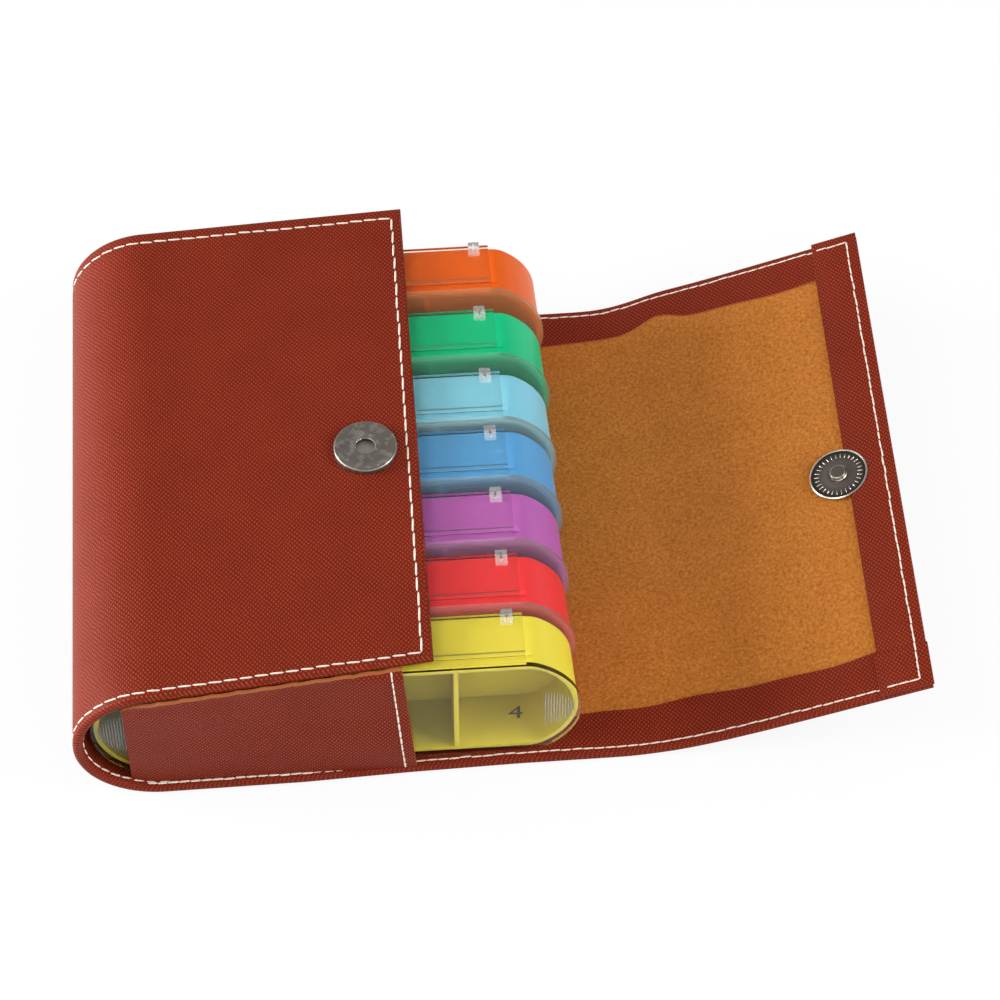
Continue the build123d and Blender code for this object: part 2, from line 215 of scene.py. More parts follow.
def tint(red, green, blue):
    """A colour as a screen shows it, in 255ths, for a colour socket."""
    linear = [c / 3294.6 if c <= 10.3 else ((c / 255 + 0.055) / 1.055) ** 2.4 for c in (red, green, blue)]
    return (*linear, 1.0)


class Shade:
    """A socket of a finish. Arithmetic on it adds Math nodes, and node() adds any other node."""

    def __init__(self, tree, socket=None):
        self.tree = tree
        self.socket = socket

    def node(self, kind, settings=None, sockets=None, output=0):
        made = self.tree.nodes.new(kind)
        for name, value in (settings or {}).items():
            if name == "stops":
                ramp = made.color_ramp
                ramp.elements[0].position, ramp.elements[0].color = value[0]
                ramp.elements[1].position, ramp.elements[1].color = value[-1]
                for position, colour in value[1:-1]:
                    ramp.elements.new(position).color = colour
            else:
                setattr(made, name, value)
        for key, value in (sockets or {}).items():
            if isinstance(value, Shade):
                self.tree.links.new(value.socket, made.inputs[key])
            else:
                made.inputs[key].default_value = value
        return Shade(self.tree, made.outputs[output] if made.outputs else None)

    def maths(self, operation, *values):
        return self.node("ShaderNodeMath", {"operation": operation}, dict(enumerate(values)))

    def __add__(self, other):
        return self.maths("ADD", self, other)

    def __sub__(self, other):
        return self.maths("SUBTRACT", self, other)

    def __rsub__(self, other):
        return self.maths("SUBTRACT", other, self)

    def __mul__(self, other):
        return self.maths("MULTIPLY", self, other)

    def __lt__(self, other):
        return self.maths("LESS_THAN", self, other)

    def __gt__(self, other):
        return self.maths("GREATER_THAN", self, other)

    __radd__ = __add__
    __rmul__ = __mul__

    def noise(self, scale, detail=2.0, distortion=0.0):
        """Mottling from 0 to 1 on these coordinates."""
        sockets = {"Vector": self, "Scale": scale, "Detail": detail, "Distortion": distortion}
        return self.node("ShaderNodeTexNoise", {}, sockets)

    def wave(self):
        """A smooth wave from 0 to 1, a whole one for each turn of 2 pi."""
        return self.maths("COSINE", self) * 0.5 + 0.5

    def size(self):
        """The number without its sign."""
        return self.maths("ABSOLUTE", self)

    def ramped(self, low, high):
        """0 below low, 1 above high."""
        settings = {"interpolation_type": "SMOOTHSTEP"}
        return self.node("ShaderNodeMapRange", settings, {0: self, 1: low, 2: high})

    def between(self, first, second):
        """The colour this far from the first to the second."""
        return self.node("ShaderNodeMix", {"data_type": "RGBA"}, {0: self, 6: first, 7: second}, output=2)

    def parts(self):
        """The three numbers of a vector."""
        split = self.tree.nodes.new("ShaderNodeSeparateXYZ")
        self.tree.links.new(self.socket, split.inputs[0])
        return [Shade(self.tree, out) for out in split.outputs]

    def bump(self, strength, distance):
        """A surface normal from this height."""
        return self.node("ShaderNodeBump", {}, {"Strength": strength, "Distance": distance, "Height": self})


def new_finish(name, coordinates):
    """An empty finish, and the coordinates that its patterns read."""
    material = bpy.data.materials.new(name)
    material.use_nodes = True
    material.node_tree.nodes.clear()
    return material, Shade(material.node_tree).node("ShaderNodeTexCoord", output=coordinates)


def surface(where, sockets):
    """Joins a plain surface with these sockets to the finish's output."""
    shader = where.node("ShaderNodeBsdfPrincipled", {}, sockets)
    where.node("ShaderNodeOutputMaterial", {}, {"Surface": shader})


def grained_leather(name, coordinates, across=(0, 1)):
    """Coated leather with a lattice of glossy nubs, painted darker in the hollows as shade and lighter on the
    tips as highlight.
    """
    NUB_PITCH = (1.28, 1.5)
    material, where = new_finish(name, coordinates)
    scale = 1.0 if coordinates == "UV" else 1 / MM
    if scale != 1.0:
        where = where.node("ShaderNodeVectorMath", {"operation": "SCALE"}, {0: where, "Scale": scale})
    parts = where.parts()
    wander = where.noise(0.22, 1.0) * 0.9
    u = (parts[across[0]] + wander) * (2 * math.pi / NUB_PITCH[0])
    v = (parts[across[1]] - wander * 0.7) * (2 * math.pi / NUB_PITCH[1])
    nub = ((u + v).wave() * (u - v).wave()).ramped(0.2, 0.95)
    wear = where.noise(0.06, 2.0)
    fine = where.noise(3.5, 2.0)
    # Painted shade in the hollows between nubs and painted highlight on the nub tips, over a random tone.
    shaded_valley = wear.between(tint(96, 22, 8), tint(108, 28, 11))
    highlit_crest = wear.between(tint(157, 60, 34), tint(175, 76, 46))
    colour = (nub * 0.9 + fine * 0.15).between(shaded_valley, highlit_crest)
    height = nub + fine * 0.12
    rough = 0.46 - nub * 0.14 + fine * 0.08
    surface(where, {"Base Color": colour, "Roughness": rough, "Specular IOR Level": 0.1,
                    "Normal": height.bump(0.6, 0.00022)})
    return material


def raw_edge_leather(name, coordinates):
    """The cut edge of the leather, where its tan fibre backing shows."""
    material, where = new_finish(name, coordinates)
    fibre = where.noise(2.4 if coordinates == "UV" else 2400.0, 3.0)
    colour = fibre.between(tint(140, 66, 34), tint(196, 116, 62))
    surface(where, {"Base Color": colour, "Roughness": 0.9, "Normal": fibre.bump(0.6, 0.0002)})
    return material


strip_leather = grained_leather("grained_leather", "UV")
strip_edge = raw_edge_leather("raw_edge", "UV")


def straight_hem(run, side):
    return 0.35 * math.sin(run / 9 + side)


wrap_shape = turned_strip(TOP_RUN, CASE_END, TOP_RUN, straight_hem)
lay_out(wrap_shape)
case_leather = hand_over(wrap_shape, "case_leather", strip_leather, strip_edge)
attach(case_leather, "case")
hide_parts("case_wrap")

# Case lining: tan felt glued inside the leather, under the boxes, round the side and under the top panel.
# Its edges lie under the turned hems.
FELT_TUCK = 12.8


def brushed_felt(name):
    """Pressed wool felt, mottled, with short fibres lying in all directions."""
    material, where = new_finish(name, "UV")
    cloud = where.noise(0.09, 3.0)
    tuft = where.noise(1.1, 4.0, 0.6)
    fibre = where.noise(4.2, 3.0, 1.2)
    pile = tuft * 0.6 + fibre * 0.4
    dark = cloud.between(tint(144, 77, 18), tint(159, 90, 25))
    light = cloud.between(tint(203, 125, 44), tint(219, 140, 58))
    colour = pile.ramped(0.3, 0.72).between(dark, light)
    surface(where, {"Base Color": colour, "Roughness": 0.97, "Specular IOR Level": 0.15,
                    "Sheen Weight": 0.12, "Normal": pile.bump(0.7, 0.0005)})
    return material


felt_finish = brushed_felt("brushed_felt")
lining_shape = cut_strip(TOP_RUN + HEM_WIDTH - 1.2, CASE_END, HALF_WIDTH - FELT_TUCK, LEATHER, FELT_TOP)
lay_out(lining_shape)
case_felt = hand_over(lining_shape, "case_felt", felt_finish)
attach(case_felt, "case")
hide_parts("case_lining")

# Gussets: leather side panels sewn between bottom and top panel. Their top and left edges are cut raw,
# their right edge is turned back and sewn, and their foot stands on the bottom panel's hem.
GUSSET_LEFT = -57.4
GUSSET_RIGHT = (21.4, 18.4)
GUSSET_FOOT = 2.7
GUSSET_TOP = 45.3
GUSSET_INNER_RADIUS = 20.9
LID_CLEAR_Z = 44.6


def gusset_place(side, along, up, inward):
    """A point of a gusset: shares along it and up it, and its depth behind the outer face."""
    right = GUSSET_RIGHT[0] + (GUSSET_RIGHT[1] - GUSSET_RIGHT[0]) * up
    x = GUSSET_LEFT + (right - GUSSET_LEFT) * along
    low, high = GUSSET_FOOT, GUSSET_TOP + 0.2 * math.sin(0.9 * x) + 0.12 * math.sin(2.1 * x)
    if x < SIDE_X:
        reach = math.sqrt(GUSSET_INNER_RADIUS ** 2 - (x - SIDE_X) ** 2)
        low, high = max(low, SIDE_RADIUS - reach), min(high, SIDE_RADIUS + reach)
    z = low + (high - low) * up
    run = SIDE_X - math.pi * SIDE_RADIUS - (x - SIDE_X)
    edge = settle((max(run, TOP_RUN), side * HALF_WIDTH, 0)).y
    foot = side * 80.8
    shoulder = edge + side * 0.2 if side < 0 else edge - 1.0
    shoulder = min(shoulder, -79.6) if side < 0 else max(shoulder, 79.9)
    y = foot + (shoulder - foot) * eased((z - GUSSET_FOOT) / 40)
    y += side * 0.8 * math.sin(math.pi * min(1.0, (z - GUSSET_FOOT) / 24)) * (0.4 + 0.6 * along)
    if z > LID_CLEAR_Z - 2 and side < 0:
        y += (edge - 1.3 - y) * eased((z - LID_CLEAR_Z + 1.2) / 1.9)
    return Vector((x, y - side * inward, z))


gusset_leather = grained_leather("gusset_leather", "Object", (0, 2))
gusset_edge = raw_edge_leather("gusset_raw_edge", "Object")
for gusset_name, gusset_side in (("front_gusset", -1), ("rear_gusset", 1)):
    bm = bmesh.new()
    unit = Matrix.Translation((0.5, 0.5, 0))
    bmesh.ops.create_grid(bm, x_segments=46, y_segments=30, size=0.5, matrix=unit)
    bmesh.ops.solidify(bm, geom=bm.faces[:], thickness=1.0)
    back = min(v.co.z for v in bm.verts) + 0.5
    bmesh.ops.recalc_face_normals(bm, faces=bm.faces[:])
    for f in bm.faces:
        f.material_index = 1 if abs(f.normal.z) < 0.5 and f.calc_center_median().y > 0.01 else 0
    for v in bm.verts:
        v.co = gusset_place(gusset_side, v.co.x, v.co.y, LEATHER if v.co.z > back else 0.0)
    bmesh.ops.recalc_face_normals(bm, faces=bm.faces[:])
    gusset = hand_over(bm, gusset_name + "_panel", gusset_leather, gusset_edge)
    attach(gusset, "case")
    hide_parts(gusset_name)

# Snap socket: the female half of a magnetic snap, a pressed steel cap over a ring magnet, on the top panel.
# Its prongs pass through the leather and are bent over a washer behind it.
SNAP_X = 12.2
CAP_PROFILE = ((9.0, 47.45), (9.0, 48.85), (8.86, 49.2), (8.55, 49.4), (8.2, 49.4), (7.95, 49.3),
               (3.55, 49.3), (3.3, 49.42), (2.95, 49.36), (2.72, 49.2), (2.7, 49.02), (8.6, 49.02),
               (8.6, 47.45), (9.0, 47.45))


def turned_metal(profile, x, steps=72):
    """A round metal part: a profile of radii and heights, spun about the snap's middle."""
    bm = bmesh.new()
    line = [bm.verts.new((x + radius, SNAP_Y, height)) for radius, height in profile]
    edges = [bm.edges.new(pair) for pair in zip(line, line[1:])]
    bmesh.ops.spin(bm, geom=line + edges, cent=(x, SNAP_Y, 0), axis=(0, 0, 1), dvec=(0, 0, 0),
                   angle=2 * math.pi, steps=steps, use_merge=True)
    bmesh.ops.remove_doubles(bm, verts=bm.verts[:], dist=0.001)
    bmesh.ops.recalc_face_normals(bm, faces=bm.faces[:])
    return bm


HATCH_TURN = 2 * math.pi / (0.58 * MM)


def pewter(name, base, hatch, rough):
    """Plated steel with patches of fine slanting scratches."""
    material, where = new_finish(name, "Object")
    x, y, _ = where.parts()
    lines = ((x * 0.87 - y * 0.5) * HATCH_TURN).wave()
    patch = where.noise(480.0, 1.0).ramped(0.5, 0.64)
    cloud = where.noise(160.0, 3.0)
    mark = lines * patch * hatch
    dark, light = ((*(min(1, c * share) for c in base[:3]), 1) for share in (0.85, 1.15))
    colour = cloud.between(dark, light)
    colour = (mark * 0.75).between(colour, tint(214, 208, 200))
    surface(where, {"Base Color": colour, "Metallic": 1.0, "Roughness": rough + cloud * 0.12 - mark * 0.1,
                    "Normal": (mark + cloud * 0.3).bump(0.35, 0.0001)})
    return material


socket_metal = pewter("pewter_socket", tint(136, 129, 121), 0.8, 0.34)
cap = hand_over(turned_metal(CAP_PROFILE, SNAP_X), "socket_cap", socket_metal)
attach(cap, "case")
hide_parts("snap_socket_cap")
dull_steel = pewter("dull_steel", tint(176, 168, 154), 0.2, 0.5)
for node_name in ("snap_socket_base", "snap_socket_washer", "snap_stud_washer"):
    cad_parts[node_name].material_slots[0].material = dull_steel
ferrite, ferrite_where = new_finish("ferrite", "Object")
surface(ferrite_where, {"Base Color": tint(24, 22, 20), "Roughness": 0.7})
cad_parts["snap_socket_magnet"].material_slots[0].material = ferrite

# Flap: the outer stretch of the same leather and felt, in six lengths that meet between the folds.
# Each length is laid out in the strip's resting shape.
FLAP_CUTS = (CASE_END, 58.45, 68.7, 80.9, 93.15, 109.1, 167.59)
FLAP_BODIES = ("case", "flap_1", "flap_2", "flap_3", "flap_4", "flap_5", "flap_cover")
COVER_BEND = (110.0, 127.0)
FLAP_TUCK = 7.5


def loose_hem(run, side):
    """How far a hem's inner edge strays outwards. The rear one is drawn in where it was turned carelessly."""
    if side > 0:
        return 0.9 + 4.2 * math.exp(-((run - 104) / 7.5) ** 2) + 0.5 * math.sin(run / 6)
    return -0.6 + 0.7 * math.sin(run / 11 + 2) + 0.3 * math.sin(run / 4.3)


def hem_lap(name, run_span, y_span, top):
    """A stretch of turned leather that lies over the hem below it, raw at its inner edge."""
    bm = bmesh.new()
    low = HEM_TOP - 0.3
    bmesh.ops.create_cube(bm, size=1.0)
    extent = (run_span[1] - run_span[0], y_span[1] - y_span[0], top - low)
    bmesh.ops.scale(bm, vec=extent, verts=bm.verts[:])
    bmesh.ops.translate(bm, vec=(sum(run_span) / 2, sum(y_span) / 2, (low + top) / 2), verts=bm.verts[:])
    bmesh.ops.bevel(bm, geom=bm.edges[:], offset=0.14, affect="EDGES", segments=2, profile=0.5, material=-1)
    for share in range(1, 12):
        y = y_span[0] + (y_span[1] - y_span[0]) * share / 12
        everything = bm.verts[:] + bm.edges[:] + bm.faces[:]
        bmesh.ops.bisect_plane(bm, geom=everything, plane_co=(0, y, 0), plane_no=(0, 1, 0))
    for f in bm.faces:
        f.material_index = 1 if f.normal.x < -0.9 else 0
    lay_out(bm)
    piece = hand_over(bm, name, strip_leather, strip_edge)
    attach(piece, "flap_cover")


RIGHT_LAP = 0.3
FRONT_LAP = 0.55
FLAP_END = FLAP_CUTS[-1]
LAP_START = FLAP_END - HEM_WIDTH + 0.3
FRONT_HEM = (-HALF_WIDTH, HEM_WIDTH - HALF_WIDTH)
hem_lap("right_hem_lap", (LAP_START, FLAP_END + 0.1), (-79.7, HALF_WIDTH + 0.6), HEM_TOP + RIGHT_LAP)
hem_lap("front_hem_lap", (LAP_START - 0.9, FLAP_END + 0.6), FRONT_HEM, HEM_TOP + FRONT_LAP)


def hem_height(run, y):
    """Height of the hem's upper face, with the laps at the flap's end."""
    if run < LAP_START:
        return HEM_TOP
    return HEM_TOP + (FRONT_LAP if y < FRONT_HEM[1] else RIGHT_LAP)


for number in range(1, 7):
    low, high = FLAP_CUTS[number - 1:number + 1]
    before, after = FLAP_BODIES[number - 1:number + 1]
    cover = number == 6
    shape = turned_strip(low, high, high if cover else None, loose_hem)
    lay_out(shape)
    leather = hand_over(shape, f"flap_leather_{number}_strip", strip_leather, strip_edge)
    felt_end = high - HEM_WIDTH + 1.2 if cover else high
    felt_shape = cut_strip(low, felt_end, HALF_WIDTH - FLAP_TUCK, LEATHER, FELT_TOP)
    lay_out(felt_shape)
    felt = hand_over(felt_shape, f"flap_felt_{number}_strip", felt_finish)
    bend_from, bend_to = COVER_BEND if cover else (low, high)
    start = settle((bend_from, SNAP_Y, HEM_TOP)) * MM
    end = settle((bend_to, SNAP_Y, HEM_TOP)) * MM
    for piece, slot in ((leather, "leather"), (felt, "felt")):
        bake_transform(piece)
        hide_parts(f"flap_cover_{slot}" if cover else f"flap_{slot}_{number}")

# Seams: cream thread, locked in slanting stitches a few millimetres inside the turned edges.
# They hold the hems of the case and flap, the gussets' foot and the gussets' turned right edge.
SIDE_INSET = 2.3
REAR_INSET = 4.0
END_INSET = 3.0
UPRIGHT_STITCHES = 14
random.seed(7)


def cream_thread():
    """Spun polyester thread, its ply lines running round it."""
    material, where = new_finish("cream_thread", "Object")
    ply = where.noise(2600.0, 2.0)
    colour = ply.between(tint(214, 196, 176), tint(250, 240, 226))
    surface(where, {"Base Color": colour, "Roughness": 0.75, "Normal": ply.bump(0.4, 0.0002)})
    return material


thread = cream_thread()


def stitch(bm, start, end, thick, flat):
    """One stitch: a blunt little bar of thread from start to end, flattened into the leather."""
    start, end = Vector(start), Vector(end)
    lean = (end - start).to_track_quat("Z", "Y").to_matrix().to_4x4()
    place = Matrix.Translation((start + end) / 2) @ lean
    place = place @ Matrix.Diagonal((thick / 2, flat / 2, (end - start).length / 2, 1))
    made = bmesh.ops.create_uvsphere(bm, u_segments=8, v_segments=6, radius=1.0)["verts"]
    for v in made:
        v.co.z = math.copysign(abs(v.co.z) ** 0.45, v.co.z)
    bmesh.ops.transform(bm, matrix=place, verts=made)


def seam_points(start, end, pitch, length, lean):
    """The two ends of each stitch along a straight seam on the flat strip."""
    start, end = Vector(start), Vector(end)
    way = (end - start).normalized()
    side = Vector((-way.y, way.x))
    count = int((end - start).length / pitch)
    for index in range(count):
        middle = start + way * (index + 0.5) * (end - start).length / count
        half = way * (length / 2 * random.uniform(0.94, 1.04)) + side * (lean * random.uniform(0.6, 1.4))
        stray = side * random.uniform(-0.12, 0.12)
        yield middle - half + stray, middle + half + stray


top_seams = bmesh.new()
seam_y = HALF_WIDTH - SIDE_INSET
corner_run = TOP_RUN + END_INSET
rear_y = HALF_WIDTH - REAR_INSET
TOP_SEAMS = (((corner_run, -seam_y), (SIDE_X + 6, -seam_y)), ((corner_run, rear_y), (SIDE_X + 6, rear_y)),
             ((corner_run, -seam_y), (corner_run, rear_y)))
for seam_start, seam_end in TOP_SEAMS:
    pitch = 4.1 if seam_start[1] == seam_end[1] else 5.0
    for first, last in seam_points(seam_start, seam_end, pitch, pitch - 0.35, 0.12):
        for height, thick in ((-0.02, 0.6), (HEM_TOP, 0.6)):
            stitch(top_seams, settle((*first, height)), settle((*last, height)), thick, 0.5)
case_seams = hand_over(top_seams, "case_seams", thread)
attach(case_seams, "case")

flap_seams = [bmesh.new() for _ in FLAP_CUTS[:-1]]
flap_corner = FLAP_END - END_INSET
FLAP_SEAMS = (((21.0, -seam_y), (flap_corner, -seam_y)), ((21.0, seam_y), (flap_corner, seam_y)),
              ((flap_corner, -seam_y), (flap_corner, seam_y)))
bottom_seams = bmesh.new()
for seam_start, seam_end in FLAP_SEAMS:
    for first, last in seam_points(seam_start, seam_end, 3.1, 3.2, 0.05):
        middle_run = (first.x + last.x) / 2
        length_index = sum(middle_run > cut for cut in FLAP_CUTS[:-1]) - 1
        target = flap_seams[length_index] if length_index >= 0 else bottom_seams
        for height in (hem_height(middle_run, first.y) - 0.05, 0.05):
            stitch(target, settle((*first, height)), settle((*last, height)), 0.56, 0.4)
for index, shape in enumerate(flap_seams):
    seams = hand_over(shape, f"flap_seams_{index + 1}", thread)
    bend_from, bend_to = COVER_BEND if index == 5 else FLAP_CUTS[index:index + 2]
    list(FLAP_BODIES[index:index + 2])
    settle((bend_from, SNAP_Y, HEM_TOP)) * MM
    settle((bend_to, SNAP_Y, HEM_TOP)) * MM
    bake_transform(seams)
for side, foot_y in ((-1, -80.0), (1, 80.6)):
    for first, last in seam_points((-54.0, foot_y), (20.5, foot_y), 3.0, 3.1, 0.05):
        stitch(bottom_seams, settle((*first, HEM_TOP + 0.1)), settle((*last, HEM_TOP + 0.1)), 0.65, 0.5)
    for index in range(UPRIGHT_STITCHES):
        low, high = (gusset_place(side, 0.96, (index + share) / UPRIGHT_STITCHES, -0.05)
                     for share in (0.05, 0.97))
        stitch(bottom_seams, low, high, 0.65, 0.5)
foot_seams = hand_over(bottom_seams, "foot_seams", thread)
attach(foot_seams, "case")

# Snap stud: the male half, a gunmetal plate with a bright rolled rim, a ring of plain ticks and a post.
# The post is riveted on, and the plate's prongs pass through the felt into a washer under it.
STUD_X = 151.19
PLATE_PROFILE = ((8.3, 2.75), (8.62, 2.85), (8.7, 3.1), (8.62, 3.38), (8.3, 3.52), (8.05, 3.44), (7.9, 3.3),
                 (5.0, 3.26), (4.2, 3.36), (3.3, 3.52), (2.9, 3.5), (2.75, 3.4), (1.0, 3.4), (1.0, 2.75),
                 (8.3, 2.75))
POST_PROFILE = ((0.0, 3.45), (2.62, 3.45), (2.5, 3.62), (2.4, 3.75), (2.4, 4.45), (2.28, 4.68), (2.05, 4.78),
                (1.5, 4.8), (0.0, 4.8))
TICKS = 30
CONE_RADIUS = 5.1


def gunmetal(name):
    """Blackened steel, rubbed bright on its rim, its ticks and its post's edge."""
    material, where = new_finish(name, "UV")
    rubbed, cone, _ = where.parts()
    cloud = where.noise(0.9, 3.0)
    shine = rubbed.ramped(0.35, 0.75)
    ring_tone = cloud.between(tint(46, 47, 42), tint(66, 65, 58))
    cone_tone = cloud.between(tint(92, 84, 79), tint(120, 110, 103))
    plain = cone.between(ring_tone, cone_tone)
    colour = shine.between(plain, tint(206, 197, 184))
    surface(where, {"Base Color": colour, "Metallic": 1.0, "Roughness": 0.42 - shine * 0.2 + cloud * 0.08,
                    "Normal": cloud.bump(0.15, 0.0001)})
    return material


def rub(bm, bright):
    """Maps a metal part so that its finish knows where it is rubbed bright."""
    layer = bm.loops.layers.uv.new("rubbed")
    for f in bm.faces:
        for corner in f.loops:
            x, y, z = corner.vert.co
            radius = math.hypot(x - STUD_X, y - SNAP_Y)
            corner[layer].uv = (bright(radius, z), 1.0 if radius < CONE_RADIUS else 0.0)


stud_metal = gunmetal("gunmetal")
plate = turned_metal(PLATE_PROFILE, STUD_X)
rub(plate, lambda radius, z: 1.0 if radius > 8.25 else 0.0)
for index in range(TICKS):
    angle = 2 * math.pi * (index + 0.5) / TICKS
    turn = Matrix.Translation((STUD_X, SNAP_Y, 3.28)) @ Matrix.Rotation(angle, 4, "Z")
    place = turn @ Matrix.Translation((6.45, 0, 0)) @ Matrix.Diagonal((0.85, 0.2, 0.2, 1))
    bmesh.ops.create_uvsphere(plate, u_segments=8, v_segments=5, radius=1.0, matrix=place)
layer = plate.loops.layers.uv["rubbed"]
for f in plate.faces:
    for corner in f.loops:
        radius = math.hypot(corner.vert.co.x - STUD_X, corner.vert.co.y - SNAP_Y)
        if 5.4 < radius < 7.5 and corner.vert.co.z > 3.33:
            corner[layer].uv = (0.9, 0)
post = turned_metal(POST_PROFILE, STUD_X, 48)
rub(post, lambda radius, z: 0.8 if 3.6 < z < 4.75 and radius > 2.0 else 0.25)
stud_drift = Vector((0, settle((STUD_X, SNAP_Y, HEM_TOP)).y - SNAP_Y, 0))
for shape, piece_name in ((plate, "stud_plate"), (post, "stud_post")):
    for v in shape.verts:
        v.co = settle(v.co) - stud_drift
    piece = hand_over(shape, piece_name, stud_metal)
    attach(piece, "flap_cover")
    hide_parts("snap_" + piece_name)

# Trays: seven injection-moulded polypropylene trays with four compartments each, one colour a day.
# The plastic is satin, a little uneven in tone, with faint scuffs.
TRAY_TINTS = {"yellow": (232, 214, 70), "red": (238, 58, 60), "purple": (182, 98, 176),
              "blue": (90, 160, 212), "light_blue": (132, 204, 226), "green": (10, 192, 128),
              "orange": (236, 98, 12)}


def moulded_plastic(name, colour):
    """Satin coloured plastic with soft clouds of tone and fine scuffs."""
    material, where = new_finish(name, "Object")
    cloud = where.noise(45.0, 2.0)
    scuff = where.noise(900.0, 2.0)
    darker = tint(*(c * 0.93 for c in colour))
    tone = cloud.between(darker, tint(*colour))
    surface(where, {"Base Color": tone, "Roughness": 0.34 + scuff * 0.12, "Specular IOR Level": 0.22,
                    "Subsurface Weight": 0.5, "Subsurface Radius": (1.0, 1.0, 1.0),
                    "Subsurface Scale": 0.004, "Normal": scuff.bump(0.05, 0.0002)})
    return material


for number, (colour_name, colour) in enumerate(TRAY_TINTS.items(), start=1):
    plastic = moulded_plastic("tray_" + colour_name, colour)
    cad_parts[f"tray_{number}"].material_slots[0].material = plastic

# Lids: clear polystyrene plates with side skirts that slide on the trays, held by four small slit hooks.
# A ribbed thumb grip is moulded at each end, and each compartment has its number printed on the plate.
BOX_FRONTS = (-78.15, -57.95, -35.95, -13.75, 7.35, 30.85, 55.65)
LID_PLATE = 1.5
HOOK_X = 47.76
HOOK_HALF = 1.7
HOOK_DEPTH = 15.1
GRIP_X = 57.0
GRIP_REACH = 8.6
GRIP_HALF = 8.4
BOX_MIDDLE = 23.65
RIDGES = 11
NUMBER_X = (-49.0, -16.5, 16.5, 49.0)
NUMBER_SIZE = 8.4
# Strength of the painted glow on the plates of lids 2 to 7, in place of reflected and scattered light.
PAINTED_GLOW = 0.4
HOOK_HAZE = 0.25
TRAPPED_DEPTH = 4.5


def clear_lid(number, front, tray_colour):
    """Clear polystyrene, its hooks whitened where they are strained, its plate given a painted glow in its
    tray's colour.

    The first lid has no painted glow; on the others it stands in for light reflected and scattered from the
    trays. Shadow rays pass straight through, and rays caught inside are let out, dimmed.
    """
    material, where = new_finish(f"clear_lid_{number}", "Object")
    x, y, _ = where.parts()
    scratch = where.noise(260.0, 3.0)
    hook = ((x.size() - HOOK_X * MM).size() < HOOK_HALF * MM) * (y > (front + HOOK_DEPTH) * MM)
    plate_part = y < (front + LID_PLATE) * MM
    clear = where.node("ShaderNodeBsdfPrincipled", {}, {
        "Base Color": (0.88, 0.87, 0.85, 1), "Roughness": 0.03 + scratch.ramped(0.55, 0.8) * 0.05,
        "IOR": 1.2, "Transmission Weight": 1.0})
    # Painted light: a pale layer in the tray's colour on the plate, in place of light from the trays; the
    # hooks' layer is plain white.
    painted_glow_tone = tint(*((c + pale) / 2 for c, pale in zip(tray_colour, (225, 215, 200))))
    milky_and_painted_glow = where.node("ShaderNodeBsdfPrincipled", {}, {
        "Base Color": plate_part.between((0.9, 0.9, 0.88, 1), painted_glow_tone), "Roughness": 0.3, "IOR": 1.49,
        "Transmission Weight": 0.3})
    # The hooks' whitening is real; the plate's share is painted glow, and lid 1 has none.
    haze = hook * HOOK_HAZE + plate_part * (0.0 if number == 1 else PAINTED_GLOW)
    shader = where.node("ShaderNodeMixShader", {}, {0: haze, 1: clear, 2: milky_and_painted_glow})
    shadow, depth = (where.node("ShaderNodeLightPath", output=name)
                     for name in ("Is Shadow Ray", "Ray Depth"))
    trapped = (depth > TRAPPED_DEPTH) * (1 - shadow)
    skirt_light, plate_light, trapped_light = (
        where.node("ShaderNodeBsdfTransparent", {}, {"Color": colour})
        for colour in ((0.76, 0.76, 0.75, 1), (0.95, 0.95, 0.94, 1), (0.4, 0.39, 0.38, 1)))
    passed = where.node("ShaderNodeMixShader", {}, {0: plate_part, 1: skirt_light, 2: plate_light})
    through = where.node("ShaderNodeMixShader", {}, {0: trapped, 1: passed, 2: trapped_light})
    lit = where.node("ShaderNodeMixShader", {}, {0: shadow + trapped, 1: shader, 2: through})
    where.node("ShaderNodeOutputMaterial", {}, {"Surface": lit})
    return material


def grip_plastic():
    """The grip's ribs, frosted by the mould."""
    material, where = new_finish("frosted_grip", "Object")
    haze = where.noise(700.0, 2.0)
    surface(where, {"Base Color": (0.95, 0.95, 0.93, 1), "Roughness": 0.12 + haze * 0.1, "IOR": 1.49,
                    "Transmission Weight": 0.92})
    return material


def printing_ink():
    """Dark brown pad-printed ink, a little worn."""
    material, where = new_finish("printed_ink", "Object")
    worn = where.noise(1500.0, 2.0)
    surface(where, {"Base Color": worn.between(tint(34, 22, 14), tint(56, 40, 28)), "Roughness": 0.55})
    return material


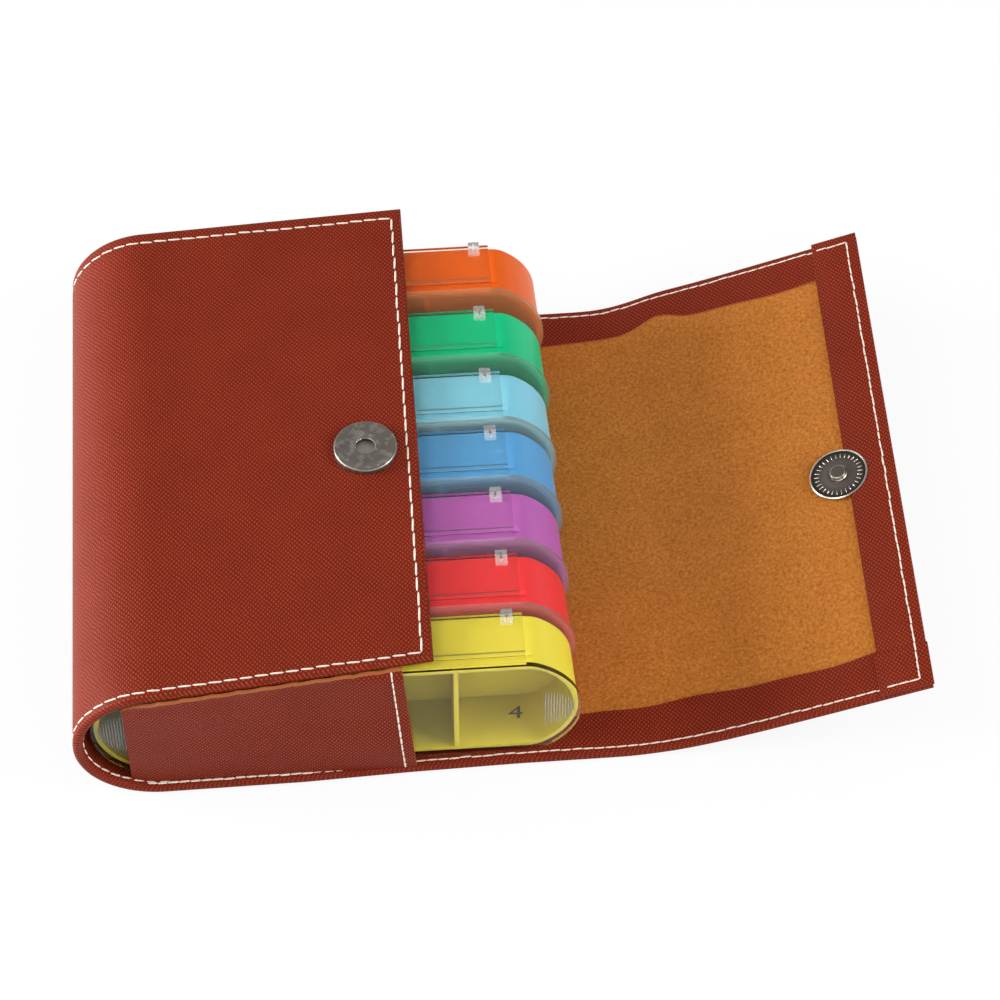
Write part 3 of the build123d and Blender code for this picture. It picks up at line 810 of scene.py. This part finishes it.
frosted = grip_plastic()
ink = printing_ink()
for number, (front, tray_colour) in enumerate(zip(BOX_FRONTS, TRAY_TINTS.values()), start=1):
    body = f"box_lid_{number}"
    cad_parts[f"lid_{number}"].material_slots[0].material = clear_lid(number, front, tray_colour)
    ribs = bmesh.new()
    for side in (-1, 1):
        for index in range(RIDGES):
            reach = (index + 0.3) / RIDGES
            half = GRIP_HALF * math.sqrt(1 - reach ** 2)
            place = Matrix.Translation((side * (GRIP_X + reach * GRIP_REACH), front, BOX_MIDDLE))
            place = place @ Matrix.Diagonal((0.22, 0.12, half, 1))
            bmesh.ops.create_uvsphere(ribs, u_segments=8, v_segments=10, radius=1.0, matrix=place)
    everything = ribs.verts[:] + ribs.edges[:] + ribs.faces[:]
    bmesh.ops.bisect_plane(ribs, geom=everything, plane_co=(0, front - 0.005, 0), plane_no=(0, 1, 0),
                           clear_outer=True)
    bmesh.ops.holes_fill(ribs, edges=ribs.edges[:], sides=0)
    grips = hand_over(ribs, f"lid_{number}_grips", frosted)
    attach(grips, body)
    for place_index, number_x in enumerate(NUMBER_X, start=1):
        words = bpy.data.curves.new(f"lid_{number}_numeral_{place_index}", "FONT")
        words.body = str(place_index)
        words.size = NUMBER_SIZE
        words.align_x = "CENTER"
        words.align_y = "CENTER"
        words.extrude = 0.02
        words.resolution_u = 4
        draft = bpy.data.objects.new("draft", words)
        bpy.context.scene.collection.objects.link(draft)
        mesh = bpy.data.meshes.new_from_object(draft)
        bpy.data.objects.remove(draft)
        place = Matrix.Scale(MM, 4) @ Matrix.Translation((number_x, front - 0.03, BOX_MIDDLE - 1.2))
        mesh.transform(place @ Matrix.Rotation(math.pi / 2, 4, "X"))
        mesh.materials.clear()
        mesh.materials.append(ink)
        numeral = bpy.data.objects.new(f"lid_{number}_numeral_{place_index}", mesh)
        bpy.context.scene.collection.objects.link(numeral)
        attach(numeral, body)

# Room: a white table, soft lamps above, left, right and in front, and the camera of a product picture.
TARGET = Vector((0.05014, -0.00261, 0.020))
AZIMUTH = math.radians(-4.1)
ELEVATION = math.radians(52.5)
DISTANCE = 1.0394
LENS = 130.14
AMBIENT = 0.3
OVERHEAD = 0.1


def seen_directly(where, gloss):
    """1 for rays from the camera or through clear plastic, gloss for those from gloss, and 0 for the rest."""
    camera, glossy, through, depth = (where.node("ShaderNodeLightPath", output=name) for name in (
        "Is Camera Ray", "Is Glossy Ray", "Is Transmission Ray", "Diffuse Depth"))
    return camera.maths("MAXIMUM", camera, glossy.maths("MAXIMUM", glossy * gloss, through)) * (depth < 0.5)


world = bpy.data.worlds.new("studio")
bpy.context.scene.world = world
world.use_nodes = True
world.node_tree.nodes.clear()
sky = Shade(world.node_tree)
overhead = sky.node("ShaderNodeTexCoord", output="Generated").parts()[2].ramped(0.15, 0.75)
overhead = overhead * (1 - sky.node("ShaderNodeLightPath", output="Is Camera Ray"))
glow = seen_directly(sky, 1.0) * (1 - overhead * (1 - OVERHEAD)) * (1 - AMBIENT) + AMBIENT
backdrop = sky.node("ShaderNodeBackground", {}, {"Color": (1, 1, 1, 1), "Strength": glow})
sky.node("ShaderNodeOutputWorld", {}, {"Surface": backdrop})

table = bmesh.new()
table_place = Matrix.Translation((0, 0, -0.25))
bmesh.ops.create_grid(table, x_segments=1, y_segments=1, size=3000.0, matrix=table_place)
table_finish, table_where = new_finish("white_table", "Object")
matte = table_where.node("ShaderNodeBsdfDiffuse", {}, {"Color": (0.9, 0.9, 0.9, 1)})
white = table_where.node("ShaderNodeEmission", {}, {"Color": (1, 1, 1, 1), "Strength": 1.0})
table_glow = seen_directly(table_where, 0.35) * 0.88
mixed = table_where.node("ShaderNodeMixShader", {}, {0: table_glow, 1: matte, 2: white})
table_where.node("ShaderNodeOutputMaterial", {}, {"Surface": mixed})
hand_over(table, "table", table_finish)

LAMPS = (("key_lamp", (-0.6, -0.3, 1.0), 0.5, 3.3), ("left_lamp", (-1.0, 0.1, 0.3), 0.5, 16.0),
         ("right_lamp", (1.0, -0.35, 0.7), 0.6, 10.5), ("fill_lamp", (0.15, -1.0, 0.6), 0.9, 2.5))
for lamp_name, place, size, power in LAMPS:
    lamp = bpy.data.lights.new(lamp_name, "AREA")
    lamp.size = size
    lamp.energy = power
    holder = bpy.data.objects.new(lamp_name, lamp)
    holder.location = place
    holder.rotation_mode = "QUATERNION"
    holder.rotation_quaternion = (TARGET - Vector(place)).to_track_quat("-Z", "Y")
    bpy.context.scene.collection.objects.link(holder)

camera = bpy.data.objects.new("camera", bpy.data.cameras.new("camera"))
camera.data.lens = LENS
camera.data.sensor_width = 36.0
backwards = Vector((math.sin(AZIMUTH) * math.cos(ELEVATION), -math.cos(AZIMUTH) * math.cos(ELEVATION),
                    math.sin(ELEVATION)))
camera.location = TARGET + backwards * DISTANCE
camera.rotation_mode = "QUATERNION"
camera.rotation_quaternion = (-backwards).to_track_quat("-Z", "Y")
camera.data.clip_start = 0.05
camera.data.clip_end = 20.0
bpy.context.scene.collection.objects.link(camera)
bpy.context.scene.camera = camera
bpy.context.scene.view_settings.view_transform = "Standard"
